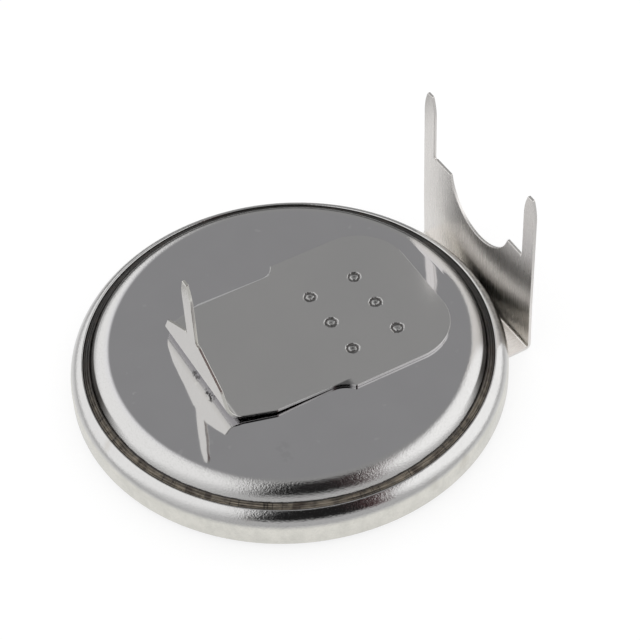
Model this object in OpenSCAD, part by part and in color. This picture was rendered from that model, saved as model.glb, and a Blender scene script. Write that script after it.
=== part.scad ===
// Lithium coin cell with two welded solder tabs, in millimetres, +Z up.
// The origin is on the cell's axis, on the underside of the positive tab, where the part rests.
// The cell lies with its negative cap up. Both tabs run along X and all three pins point up.
// Heights in the cell start at the can's base, and heights on the negative tab at the cap's face.

/* [Can] */
// Outer diameter of the positive can
cell_d = 24.5; // [22:0.1:30]
// Height of the cell, from the can's base to the cap's face
cell_h = 3.0; // [2.8:0.1:5.4]
// Sheet thickness of the can
can_wall = 0.25; // [0.2:0.01:0.3]
// Outer radius of the can's bottom corner
base_r = 0.35; // [0.31:0.01:0.6]
// Outer radius of the crimp that closes the can over the gasket
crimp_r = 0.79; // [0.75:0.01:0.9]
// Depth of the can's lip below the cap's face
lip_drop = 0.78; // [0.55:0.01:0.9]

/* [Cap] */
// Sheet thickness of the negative cap
cap_wall = 0.25; // [0.2:0.01:0.3]
// Outer radius of the soft curve at the edge of the cap's face
soft_r = 2.5; // [1.5:0.1:4]
// Slope at which the soft curve meets the shoulder, in degrees
soft_a = 8; // [2:1:12]
// Outer radius of the shoulder between the soft curve and the cap's wall
shoulder_r = 0.64; // [0.35:0.01:0.7]
// Radius of the hollow corner above the cap's step
joggle_r = 0.1; // [0.05:0.01:0.15]
// Outer radius of the corner between the step and the skirt
step_r = 0.34; // [0.31:0.01:0.38]

/* [Gasket] */
// Width of the gasket that shows between the can's lip and the cap
seal_w = 0.71; // [0.62:0.01:0.9]
// Gasket thickness between the cap's skirt and the can's wall
seal_side = 0.65; // [0.5:0.01:0.7]
// Gasket thickness under the skirt
seal_floor = 0.5; // [0.3:0.01:0.6]
// Gasket thickness between the cap's step and the crimp
seal_squeeze = 0.55; // [0.4:0.01:0.6]
// Thickness of the gasket's lip inside the skirt
seal_lip = 0.2; // [0.1:0.01:0.3]
// Depth of the gasket's beads below the can's lip
seal_sink = 0.2; // [0.05:0.01:0.25]
// Beads round the gasket's visible ring
seal_beads = 3; // [2:1:4]

/* [Inside] */
// Thickness of the lithium disc
lithium_h = 0.7; // [0.4:0.05:0.9]
// Distance from the lithium disc's edge to the edge of the cap's flat face
lithium_gap = 0.1; // [0.05:0.05:1]
// Thickness of the separator
separator_t = 0.15; // [0.1:0.01:0.25]
// Clearance between the separator and the cap's wall
separator_gap = 0.2; // [0.1:0.01:0.4]
// Depth of the separator's turned-down rim
separator_rim = 0.5; // [0.3:0.05:0.6]
// Sheet thickness of the ring that holds the cathode pellet
ring_t = 0.15; // [0.1:0.01:0.2]
// Clearance between the ring and the separator's rim
ring_gap = 0.05; // [0.03:0.01:0.1]
// Width of the ring's foot on the can's floor
ring_foot = 0.45; // [0.3:0.01:0.5]
// Height of the cathode pellet above the ring
pellet_rise = 0.2; // [0.1:0.05:0.5]

/* [Tab sheet and pins] */
// Sheet thickness of both tabs
tab_t = 0.18; // [0.12:0.01:0.25]
// Width of each pin
pin_w = 1.03; // [0.7:0.01:1.4]
// Length of a pin's narrowing tip
pin_tip_l = 1.4; // [1:0.1:2]
// Width of a pin's blunt end
pin_end_w = 0.44; // [0.2:0.01:0.6]
// Radius of the small relief beside a pin's root
relief_r = 0.12; // [0.08:0.01:0.2]
// Outward lean of the upright sheets, in degrees
lean = 0.8; // [0.2:0.1:3]

/* [Negative tab] */
// Turn of the tab about the cell's axis, in degrees
neg_turn = -1.2; // [-5:0.1:5]
// Width of the part that is welded to the cap
neg_wide_w = 10.4; // [9.6:0.1:11.5]
// Width of the part between the step and the bend
neg_narrow_w = 9.24; // [8.6:0.01:9.5]
// Width at the bend
neg_root_w = 8.3; // [7:0.1:8.5]
// Length over which the narrow part tapers to the bend
neg_taper = 1.8; // [1:0.1:3]
// Distance from the tab's end to the edge of the cap's flat face
neg_end_gap = 1.15; // [0.5:0.01:2.5]
// Radius of the two corners at the tab's end
neg_corner_r = 3.0; // [1:0.1:4]
// Distance from the cell's axis to the step in the tab's side towards -Y
neg_near_step_x = 1.4; // [1.3:0.1:2]
// Distance from the cell's axis to the step in the tab's side towards +Y
neg_far_step_x = 1.7; // [1.3:0.1:2]
// Radius of the hollow curve that leads up to the -Y step
neg_near_step_r = 1.5; // [0.7:0.1:2]
// Radius of the hollow curve that leads up to the +Y step
neg_far_step_r = 0.8; // [0.7:0.1:2]
// Distance from the cell's axis to the line where the tab starts to lift off the cap
neg_lift_x = 1.0; // [0:0.1:1.2]
// Angle at which the tab lifts off the cap, in degrees
neg_lift = 3; // [1:0.1:5]
// Radius of the curve into that lift
neg_lift_r = 20; // [10:1:30]
// Distance from the cell's axis to the outside of the upright sheet
neg_reach = 5.71; // [4.5:0.01:7]
// Inner radius of the bend
neg_bend_r = 0.55; // [0.3:0.01:0.8]
// Height of the shoulders beside the pin, above the cap's face
neg_shoulder_h = 3.1; // [2.5:0.1:4]
// Height of the upright's lower corners, above the cap's face
neg_side_h = 1.7; // [1.4:0.1:2.2]
// Width of the upright at its lower corners
neg_side_w = 6.3; // [4:0.1:7]
// Height of the pin's tip above the cap's face
neg_pin_h = 7.4; // [6.5:0.1:10]

/* [Positive tab] */
// Width of the tab
pos_w = 11.0; // [10.5:0.1:12]
// Length of the tab past the cell's axis, under the can
pos_under = 4.5; // [3:0.1:8]
// Radius of the two corners at its hidden end
pos_corner_r = 3.0; // [1:0.1:4]
// Gap between the can's wall and the upright sheet
pos_gap = 0.14; // [0.05:0.01:0.4]
// Inner radius of the bend
pos_bend_r = 0.15; // [0.1:0.01:0.3]
// Height of the crease across the upright sheet
pos_crease_h = 3.2; // [2:0.1:4]
// Height of the shoulder beside the pin on the -Y side
pos_near_h = 6.43; // [5.8:0.01:7]
// Height of the shoulder beside the pin on the +Y side
pos_far_h = 6.78; // [5.8:0.01:7]
// Radius of the round cut-out between the pins
pos_cut_r = 3.0; // [2.6:0.1:3.2]
// Height of the cut-out's centre
pos_cut_h = 7.36; // [7.1:0.01:8]
// Offset of the cut-out from the tab's middle, along Y
pos_cut_shift = -0.2; // [-0.4:0.1:0.4]
// Height of the pins' tips
pos_pin_h = 11.1; // [9:0.1:14]

/* [Weld spots] */
// Outer radius of a weld mark's ring
weld_r = 0.4; // [0.25:0.01:0.5]
// Radius of the raised middle of a weld mark
weld_core_r = 0.17; // [0.1:0.01:0.2]
// Depth of the ring
weld_depth = 0.03; // [0.01:0.01:0.05]
// Rows of weld marks across each tab
weld_rows = 3; // [2:1:4]
// Distance between the two columns, along the tab
weld_pitch_x = 2.89; // [2:0.01:3.5]
// Distance between the rows, across the tab
weld_pitch_y = 2.32; // [1.5:0.01:2.4]
// Distance from a tab's end to its first column
weld_end_gap = 3.28; // [2.5:0.01:4]
// Offset of the rows from the middle of the negative tab
weld_shift = -0.46; // [-0.6:0.01:0.6]

/* [Hidden] */
$fn = 96;
fn_bend = 720;
eps = 0.01;
seam = 0.002;

can_r = cell_d / 2;
can_in_r = can_r - can_wall;
lip_r = can_r - crimp_r;
lip_z = cell_h - lip_drop;
crimp_z = lip_z - crimp_r;
cap_r = lip_r - seal_w;
cap_in_r = cap_r - cap_wall;
shoulder_x = cap_r - shoulder_r;
cap_face_r = shoulder_x - (soft_r - shoulder_r) * sin(soft_a);
shoulder_z = cell_h - soft_r + (soft_r - shoulder_r) * cos(soft_a);
skirt_r = can_in_r - seal_side;
skirt_in_r = skirt_r - cap_wall;
skirt_z = can_wall + seal_floor;
step_z = lip_z - can_wall - seal_squeeze;
seal_in_r = skirt_in_r - seal_lip;
seal_lip_z = step_z - cap_wall - separator_gap;
bead_r = seal_w / (2 * seal_beads);
bead_z = lip_z - seal_sink - bead_r;

lithium_z = cell_h - cap_wall - lithium_h;
separator_z = lithium_z - separator_t;
separator_r = cap_in_r - separator_gap;
ring_r = separator_r - separator_t - ring_gap;
pellet_r = ring_r - ring_t;
ring_top = separator_z - pellet_rise;

can_z = tab_t;
cap_face_z = can_z + cell_h;
upright = 90 - lean;

neg_end_x = cap_face_r - neg_end_gap;
neg_step_w = (neg_wide_w - neg_narrow_w) / 2;
neg_arc_x = neg_end_x - neg_corner_r;
neg_lift_run = (neg_lift_r + tab_t) * sin(neg_lift);
neg_lift_rise = (neg_lift_r + tab_t) * (1 - cos(neg_lift));
neg_bend_out = neg_bend_r + tab_t;
neg_flat_run = neg_end_x - neg_lift_x;
neg_bend_run = neg_bend_out * (sin(upright) - sin(neg_lift));
neg_slope_run = (neg_lift_x + neg_reach - neg_lift_run - neg_bend_run) / cos(neg_lift);
neg_bend_rise = neg_bend_out * (cos(neg_lift) - cos(upright));
neg_bend_z = neg_lift_rise + neg_slope_run * sin(neg_lift);
neg_bend_top = neg_bend_z + neg_bend_rise;
neg_root_z = neg_bend_z + tab_t;
neg_upright_run = (neg_pin_h - neg_bend_top) / sin(upright);
neg_split_x = -neg_reach + neg_bend_out;

pos_face_x = can_r + pos_gap;
pos_flat_run = pos_under + pos_face_x - pos_bend_r;
pos_strip_run = pos_crease_h - pos_bend_r;
pos_upper_run = (pos_pin_h - pos_crease_h) / sin(upright);
pos_root_y = pos_w / 2 - pin_w;

// Quarter of a disc about the origin, in the quadrant given by the signs of qx and qy.
module quarter_disc(r, qx, qy)
    intersection() {
        circle(r = r);
        translate([qx < 0 ? -r : 0, qy < 0 ? -r : 0]) square(r);
    }

// Half section of the can's outer form, moved inwards by g: flat base, small corner, wall and crimp.
module can_form(g) {
    translate([0, g]) square([can_r - base_r, crimp_z - g]);
    translate([0, base_r]) square([can_r - g, crimp_z - base_r]);
    translate([can_r - base_r, base_r]) quarter_disc(base_r - g, 1, -1);
    translate([lip_r, crimp_z]) quarter_disc(crimp_r - g, 1, 1);
}

// Half section of the cap's outer form, moved inwards by g and open below z_low.
module cap_form(g, z_low) {
    hollow = joggle_r + g;
    soft_x = cap_face_r + (soft_r - g) * sin(soft_a);
    translate([0, z_low]) square([skirt_r - step_r, step_z - g - z_low]);
    translate([0, z_low]) square([skirt_r - g, step_z - step_r - z_low]);
    translate([skirt_r - step_r, step_z - step_r]) quarter_disc(step_r - g, 1, 1);
    translate([0, z_low]) square([cap_r - g, shoulder_z - z_low]);
    translate([0, z_low]) square([cap_face_r, cell_h - g - z_low]);
    intersection() {
        translate([cap_face_r, cell_h - soft_r]) circle(r = soft_r - g);
        translate([cap_face_r, shoulder_z]) square([soft_x - cap_face_r, cell_h]);
    }
    translate([shoulder_x, shoulder_z]) quarter_disc(shoulder_r - g, 1, 1);
    difference() {
        translate([cap_r - g, step_z - g]) square(hollow);
        translate([cap_r + joggle_r, step_z + joggle_r]) circle(r = hollow);
    }
}

// Half section of the gasket: a channel round the cap's skirt, and the beaded ring that shows.
module gasket_form() {
    intersection() {
        can_form(can_wall);
        union() {
            translate([seal_in_r, can_wall]) square([can_r - seal_in_r, seal_floor]);
            translate([seal_in_r, can_wall]) square([seal_lip, seal_lip_z - can_wall]);
            translate([skirt_r, can_wall]) square([crimp_r, cell_h]);
            difference() {
                translate([cap_r, step_z - step_r]) square([can_r - cap_r, cell_h]);
                cap_form(0, skirt_z);
            }
        }
    }
    difference() {
        union() {
            translate([cap_r, step_z]) square([seal_w, bead_z - step_z]);
            for (i = [0 : seal_beads - 1])
                translate([cap_r + bead_r * (2 * i + 1), bead_z]) circle(r = bead_r);
        }
        cap_form(0, skirt_z);
    }
}

// Side view of a bent sheet of thickness tab_t, from the origin along +X.
// Each step is [straight run, inner bend radius, bend angle]. A positive angle turns towards +Y,
// and a negative one is a sharp crease the other way.
module bent_sheet(steps, i = 0) {
    if (i < len(steps)) {
        run = steps[i][0];
        r = steps[i][1];
        a = steps[i][2];
        translate([-seam, 0]) square([run + seam, tab_t]);
        if (a > 0)
            translate([run, tab_t + r]) {
                bend_sector(r, a);
                rotate(a) translate([0, -tab_t - r]) bent_sheet(steps, i + 1);
            }
        else
            translate([run, tab_t]) rotate(a) translate([0, -tab_t]) bent_sheet(steps, i + 1);
    }
}

// The bent stretch of a sheet, about the bend's centre: a ring's sector from straight down, a degrees long.
module bend_sector(r, a) {
    reach = 2 * (r + tab_t);
    intersection() {
        difference() {
            circle(r = r + tab_t, $fn = fn_bend);
            circle(r = r, $fn = fn_bend);
        }
        polygon([[0, 0], [0, -reach], [reach * sin(a / 2), -reach * cos(a / 2)],
                 [reach * sin(a), -reach * cos(a)]]);
    }
}

// Outline of one pin that stands on the X axis and is h high. Its tip narrows between two arcs.
module pin_outline(h) {
    half = pin_w / 2;
    side = half - pin_end_w / 2;
    arc_r = (side * side + pin_tip_l * pin_tip_l) / (2 * side);
    translate([-half, 0]) square([pin_w, h - pin_tip_l]);
    translate([0, h - pin_tip_l])
        intersection() {
            translate([-half, 0]) square([pin_w, pin_tip_l]);
            translate([half - arc_r, 0]) circle(r = arc_r);
            translate([arc_r - half, 0]) circle(r = arc_r);
        }
}

// Outline of a tab's end that points along +X, with its two corners rounded by r.
module rounded_end(x_low, x_high, w, r) {
    translate([x_low, -w / 2]) square([x_high - r - x_low, w]);
    translate([x_high - r, r - w / 2]) square([r, w - 2 * r]);
    for (side = [-1, 1])
        translate([x_high - r, side * (w / 2 - r)]) quarter_disc(r, 1, side);
}

// The rings pressed into a tab by its weld spots: two columns from x, on both sides of y, cut up to z = 0.
module weld_marks(x, y)
    for (column = [0, 1], row = [0 : weld_rows - 1])
        translate([x + column * weld_pitch_x, y + (row - (weld_rows - 1) / 2) * weld_pitch_y, -weld_depth])
            difference() {
                cylinder(r = weld_r, h = weld_depth + eps);
                translate([0, 0, -eps]) cylinder(r = weld_core_r, h = weld_depth + 3 * eps);
            }

// Plan of the negative tab up to its bend.
module neg_plan() {
    rounded_end(max(neg_near_step_x, neg_far_step_x), neg_end_x, neg_wide_w, neg_corner_r);
    polygon([[neg_arc_x, -neg_narrow_w / 2], [neg_arc_x, neg_narrow_w / 2],
             [neg_split_x + neg_taper, neg_narrow_w / 2], [neg_split_x - seam, neg_root_w / 2],
             [neg_split_x - seam, -neg_root_w / 2], [neg_split_x + neg_taper, -neg_narrow_w / 2]]);
    mirror([0, 1, 0]) neg_side(neg_near_step_x, neg_near_step_r);
    neg_side(neg_far_step_x, neg_far_step_r);
}

// The strip by which the negative tab is wider on its +Y side from x on, and the hollow curve before it.
module neg_side(x, r) {
    run = sqrt(neg_step_w * (2 * r - neg_step_w));
    difference() {
        translate([x - run, 0]) square([run + neg_arc_x - x, neg_wide_w / 2]);
        translate([x - run, neg_narrow_w / 2 + r]) circle(r = r);
    }
}

// Front view of the negative tab's upright: sloping shoulders and one middle pin.
module neg_front() {
    difference() {
        polygon([[-neg_root_w / 2, -eps], [neg_root_w / 2, -eps],
                 [neg_root_w / 2, neg_root_z], [neg_side_w / 2, neg_side_h],
                 [pin_w / 2, neg_shoulder_h], [-pin_w / 2, neg_shoulder_h],
                 [-neg_side_w / 2, neg_side_h], [-neg_root_w / 2, neg_root_z]]);
        for (side = [-1, 1])
            translate([side * (pin_w / 2 + relief_r), neg_shoulder_h - relief_r / 2]) circle(r = relief_r);
    }
    pin_outline(neg_pin_h);
}

// Front view of the positive tab's upright: a plate with a round cut-out and a pin at each edge.
module pos_front() {
    difference() {
        union() {
            translate([-pos_w / 2, -eps]) square([pos_w / 2, pos_near_h]);
            translate([0, -eps]) square([pos_w / 2, pos_far_h]);
        }
        translate([pos_cut_shift, pos_cut_h]) circle(r = pos_cut_r);
        translate([-pos_root_y + relief_r, pos_near_h]) circle(r = relief_r);
        translate([pos_root_y - relief_r, pos_far_h]) circle(r = relief_r);
    }
    for (side = [-1, 1])
        translate([side * (pos_w - pin_w) / 2, 0]) pin_outline(pos_pin_h);
}

// Stands a front view up across the X axis, from x = 0 to the given depth, with the view's X along +Y.
module stand_across(depth) rotate([90, 0, 90]) linear_extrude(height = depth) children();

// Gives a side view, drawn in X and Z, the width w across Y.
module across(w) rotate([90, 0, 0]) linear_extrude(height = w, center = true) children();

module positive_can() color([0.80, 0.79, 0.76]) translate([0, 0, can_z])
    rotate_extrude($fn = 180) difference() {
        can_form(0);
        can_form(can_wall);
        translate([0, crimp_z]) square([lip_r, cell_h]);
    }

module gasket() color([0.10, 0.09, 0.08]) translate([0, 0, can_z])
    rotate_extrude($fn = 180) gasket_form();

module negative_cap() color([0.62, 0.63, 0.65]) translate([0, 0, can_z])
    rotate_extrude($fn = 180) difference() {
        cap_form(0, skirt_z);
        cap_form(cap_wall, skirt_z - eps);
    }

module lithium_anode() color([0.70, 0.71, 0.73]) translate([0, 0, can_z + lithium_z])
    cylinder(r = cap_face_r - lithium_gap, h = lithium_h, $fn = 180);

module separator() color([0.93, 0.92, 0.88]) translate([0, 0, can_z])
    rotate_extrude($fn = 180) {
        translate([0, separator_z]) square([separator_r, separator_t]);
        translate([separator_r - separator_t, separator_z - separator_rim])
            square([separator_t, separator_rim]);
    }

module cathode_pellet() color([0.13, 0.13, 0.14]) translate([0, 0, can_z + can_wall])
    cylinder(r = pellet_r, h = separator_z - can_wall, $fn = 180);

module cathode_ring() color([0.74, 0.74, 0.73]) translate([0, 0, can_z])
    rotate_extrude($fn = 180) {
        translate([pellet_r, can_wall]) square([ring_t, ring_top - can_wall]);
        translate([pellet_r, can_wall]) square([ring_t + ring_foot, ring_t]);
    }

module negative_tab() color([0.78, 0.77, 0.75]) translate([0, 0, cap_face_z])
    difference() {
        rotate([0, 0, neg_turn]) intersection() {
            translate([neg_end_x, 0, 0]) mirror([1, 0, 0]) across(neg_wide_w)
                bent_sheet([[neg_flat_run, neg_lift_r, neg_lift],
                            [neg_slope_run, neg_bend_r, upright - neg_lift], [neg_upright_run, 0, 0]]);
            union() {
                linear_extrude(height = neg_pin_h) neg_plan();
                translate([neg_split_x - neg_reach, 0, 0]) stand_across(neg_reach) neg_front();
            }
        }
        translate([0, 0, tab_t]) weld_marks(neg_end_x - weld_end_gap - weld_pitch_x, weld_shift);
    }

module positive_tab() color([0.80, 0.79, 0.77])
    difference() {
        intersection() {
            translate([-pos_under, 0, 0]) across(pos_w)
                bent_sheet([[pos_flat_run, pos_bend_r, 90], [pos_strip_run, 0, -lean],
                            [pos_upper_run, 0, 0]]);
            union() {
                linear_extrude(height = tab_t + pos_bend_r) mirror([1, 0, 0])
                    rounded_end(-pos_face_x - tab_t, pos_under, pos_w, pos_corner_r);
                translate([can_r, 0, can_z]) stand_across(pos_w) pos_front();
            }
        }
        mirror([0, 0, 1]) weld_marks(weld_end_gap - pos_under, 0);
    }

positive_can();
gasket();
negative_cap();
lithium_anode();
separator();
cathode_pellet();
cathode_ring();
negative_tab();
positive_tab();
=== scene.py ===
"""Looks of a lithium coin cell that lies cap up, with a solder tab welded to its cap and one under its can.

Every length below is in millimetres until a mesh is written, and the frame's own boxes give the sizes
of the cell. X runs from the cell's axis to the positive tab, and Z up along the pins.
"""

import math

import bpy
import numpy as np
from mathutils import Matrix, Vector
from mathutils.geometry import delaunay_2d_cdt


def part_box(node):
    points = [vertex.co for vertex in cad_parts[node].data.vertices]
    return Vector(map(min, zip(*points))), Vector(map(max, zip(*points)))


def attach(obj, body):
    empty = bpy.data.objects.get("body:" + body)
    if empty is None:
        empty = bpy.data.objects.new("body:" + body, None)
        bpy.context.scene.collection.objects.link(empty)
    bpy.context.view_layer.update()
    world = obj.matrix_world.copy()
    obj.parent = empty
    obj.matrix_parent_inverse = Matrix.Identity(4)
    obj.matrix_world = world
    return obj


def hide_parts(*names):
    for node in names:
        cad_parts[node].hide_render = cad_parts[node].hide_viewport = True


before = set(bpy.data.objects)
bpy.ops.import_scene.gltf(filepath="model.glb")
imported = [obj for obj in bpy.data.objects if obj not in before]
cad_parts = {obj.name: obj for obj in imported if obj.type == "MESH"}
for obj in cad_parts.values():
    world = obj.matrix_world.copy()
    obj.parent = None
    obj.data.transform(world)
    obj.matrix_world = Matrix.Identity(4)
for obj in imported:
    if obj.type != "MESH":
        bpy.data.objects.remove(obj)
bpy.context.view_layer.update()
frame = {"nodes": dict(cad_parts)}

MM = 0.001
scene = bpy.context.scene


def cad_box(node):
    """Lowest and highest corner of a node, in millimetres."""
    low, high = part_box(node)
    return np.array(low) / MM, np.array(high) / MM


# Sizes of the cell, read from the frame.
can_low, can_high = cad_box("positive_can")
cap_low, cap_high = cad_box("negative_cap")
_, gasket_high = cad_box("gasket")
_, neg_high = cad_box("negative_tab")
pos_low, pos_high = cad_box("positive_tab")

CAN_R = can_high[0]
CAN_BASE_Z = can_low[2]
LIP_Z = can_high[2]
CAP_FACE_Z = cap_high[2]
SKIRT_R = cap_high[0]
SKIRT_Z = cap_low[2]
SHEET = CAN_BASE_Z - pos_low[2]
CAN_WALL = CAN_R - gasket_high[0]

# Sizes of the cell that the boxes don't give. First the can: its corners, its crimp and its lip.
BASE_R = 0.35
CORNER_R = 0.1
CRIMP_R = 1.2
LIP_W = 0.79
LIP_DROP = 0.07
LIP_EDGE_R = 0.08

# The cap: its wall, and the arcs of its shoulder, flank and step, with their ends in degrees.
CAP_WALL = 0.25
SHOULDER_R = 1.33
SHOULDER_END = 23.0
FLANK_END = 15.0
STEP_R = 0.34
STEP_BELOW_LIP = 0.8

# The gasket: its lip inside the skirt, and the ring of beads between cap and can, with their squeeze.
SEAL_LIP = 0.2
SEAL_LIP_DROP = 0.45
SEAL_W = 0.41
SEAL_BEADS = 3
SEAL_SLOPE = 0.08
SQUEEZE = 0.03
SQUEEZED_H = 0.15

# The rings of points on the flat faces, and how finely the round pieces are meshed.
BASE_RINGS = (3.0, 9.0)
FACE_RINGS = (5.0, 9.0)
INSIDE_RING = 6.0
SEGMENTS = 360
GASKET_STEP = 0.12

# What follows from these sizes: the centres and the ends of the arcs that the three sections share.
CRIMP_X = CAN_R - CRIMP_R
LIP_R = CAN_R - LIP_W
RING_R = LIP_R - SEAL_W
CAP_FACE_R = RING_R - SHOULDER_R * math.cos(math.radians(SHOULDER_END))
RING_Z = CAP_FACE_Z - SHOULDER_R * (1 - math.sin(math.radians(SHOULDER_END)))
BEAD_R = SEAL_W / (2 * SEAL_BEADS)
LIP_EDGE_TURN = math.asin((LIP_R + LIP_EDGE_R - CRIMP_X) / (CRIMP_R - LIP_EDGE_R))
LIP_EDGE_Z = LIP_Z - LIP_DROP - LIP_EDGE_R
CRIMP_Z = LIP_EDGE_Z - (CRIMP_R - LIP_EDGE_R) * math.cos(LIP_EDGE_TURN)
CRIMP_END = 90 - math.degrees(math.asin((LIP_R - CRIMP_X) / (CRIMP_R - CAN_WALL)))
STEP_Z = LIP_Z - STEP_BELOW_LIP

# Points closer than SAME_POINT are one point, and nothing is divided by less than TINY.
SAME_POINT = 1e-6
TINY = 1e-12

# How the fill between a sheet's points is made: inside its outline only, and this exactly.
FILL_INSIDE = 1
FILL_EXACT = 1e-7

# Surfaces


def arc(centre, radius, start, stop, count=12):
    """Points of a circle's arc in a plane, from one angle to another in degrees."""
    a = np.radians(np.linspace(start, stop, count))
    return np.stack([centre[0] + radius * np.cos(a), centre[1] + radius * np.sin(a)], -1)


def joined(*parts):
    """One outline from points and rows of points, in order."""
    return np.concatenate([np.atleast_2d(np.asarray(p, float)) for p in parts])


def resampled(outline, step):
    """The closed outline with points added along its sides, none of them further than step from the next."""
    pieces = []
    for a, b in zip(outline, np.roll(outline, -1, 0)):
        count = max(1, int(math.ceil(np.linalg.norm(b - a) / step)))
        pieces.append(a + (b - a) * (np.arange(count) / count)[:, None])
    points = np.concatenate(pieces)
    gap = np.linalg.norm(points - np.roll(points, 1, 0), axis=1)
    return points[gap > SAME_POINT]


def new_object(name, verts, faces, normals=None):
    """A mesh object from arrays in millimetres: vertices, faces as lists of rows, and vertex normals."""
    mesh = bpy.data.meshes.new(name)
    mesh.from_pydata((verts * MM).tolist(), [], faces)
    mesh.update()
    mesh.polygons.foreach_set("use_smooth", np.ones(len(mesh.polygons), bool))
    if normals is not None:
        mesh.normals_split_custom_set_from_vertices(normals.tolist())
    obj = bpy.data.objects.new(name, mesh)
    scene.collection.objects.link(obj)
    return obj


def turned(name, profile, segments, closed=False, wobble=None):
    """A surface of revolution about Z: the point at (r, z) of the profile, turned to the angle a, lies at
    (r cos a, r sin a, z). An open profile starts and ends on the axis, where its end points are poles.
    wobble(r, z, a) may move r and z a little, as a function of the angle."""
    a = np.linspace(0, 2 * np.pi, segments, endpoint=False)[:, None]
    rows = profile if closed else profile[1:-1]
    r = np.broadcast_to(rows[:, 0], (segments, len(rows))).copy()
    z = np.broadcast_to(rows[:, 1], (segments, len(rows))).copy()
    if wobble:
        r, z = wobble(r, z, np.broadcast_to(a, r.shape))
    verts = np.stack([r * np.cos(a), r * np.sin(a), z], -1).reshape(-1, 3)
    n = len(rows)
    i = np.arange(segments)[:, None]
    j = np.arange(n if closed else n - 1)[None, :]
    k = (i + 1) % segments
    nxt = (j + 1) % n
    faces = np.stack([i * n + j, k * n + j, k * n + nxt, i * n + nxt], -1).reshape(-1, 4).tolist()
    if not closed:
        first, last = len(verts), len(verts) + 1
        verts = np.concatenate([verts, [[0, 0, profile[0, 1]], [0, 0, profile[-1, 1]]]])
        ring = np.arange(segments)
        after = (ring + 1) % segments
        faces += np.stack([np.full(segments, first), after * n, ring * n], -1).tolist()
        faces += np.stack([np.full(segments, last), ring * n + n - 1, after * n + n - 1], -1).tolist()
    return new_object(name, verts, faces)


class Fold:
    """How a flat sheet is folded up. Each step is (straight run, bend radius inside, bend angle in degrees).
    A point at the distance s along the sheet's middle and n above it lies at start + run, in a side view."""

    def __init__(self, steps):
        self.rows = []
        s, x, z, angle = 0.0, 0.0, SHEET / 2, 0.0
        for run, radius, bend in steps:
            self.rows.append((s, x, z, angle, 0.0))
            s, x, z = s + run, x + run * math.cos(angle), z + run * math.sin(angle)
            if radius > 0:
                mid = radius + SHEET / 2
                self.rows.append((s, x, z, angle, 1 / mid))
                turn = math.radians(bend)
                x += mid * (math.sin(angle + turn) - math.sin(angle))
                z += mid * (math.cos(angle) - math.cos(angle + turn))
                s, angle = s + mid * turn, angle + turn
            else:
                angle += math.radians(bend)
        self.length = s
        self.table = np.array(self.rows)

    def place(self, s, n):
        """Run and height of points at the distance s along the sheet and n from its middle, and the slope
        there. A bent stretch adds its turned-out arc to where it starts, and a straight one its length."""
        row = self.table[np.clip(np.searchsorted(self.table[:, 0], s, "right") - 1, 0, len(self.table) - 1)]
        d = s - row[:, 0]
        bent = row[:, 4] > 0
        curve = np.where(bent, row[:, 4], 1.0)
        end = row[:, 3] + np.where(bent, d * curve, 0.0)
        x = row[:, 1] + np.where(bent, (np.sin(end) - np.sin(row[:, 3])) / curve, d * np.cos(row[:, 3]))
        z = row[:, 2] + np.where(bent, (np.cos(row[:, 3]) - np.cos(end)) / curve, d * np.sin(row[:, 3]))
        return x - n * np.sin(end), z + n * np.cos(end), end

    def at_height(self, h):
        """Distance along the sheet at which its last straight stretch reaches the height h."""
        s, x, z, angle, _ = self.rows[-1]
        return s + (np.asarray(h, float) - z) / math.sin(angle)


# The rounded edge of a sheet, from its underside to its top. Each row of points has its inset from the
# outline, its side of the sheet's middle, and its distance from that side's face. Inset and distance are in
# edge radii, and EDGE_MID is the middle of the round.
EDGE_R = 0.03
EDGE_MID = 0.293
EDGE_PROFILE = [(1.0, -1.0, 0.0), (EDGE_MID, -1.0, EDGE_MID), (0.0, -1.0, 1.0), (0.0, 0.0, 0.0),
                (0.0, 1.0, 1.0), (EDGE_MID, 1.0, EDGE_MID), (1.0, 1.0, 0.0)]


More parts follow.
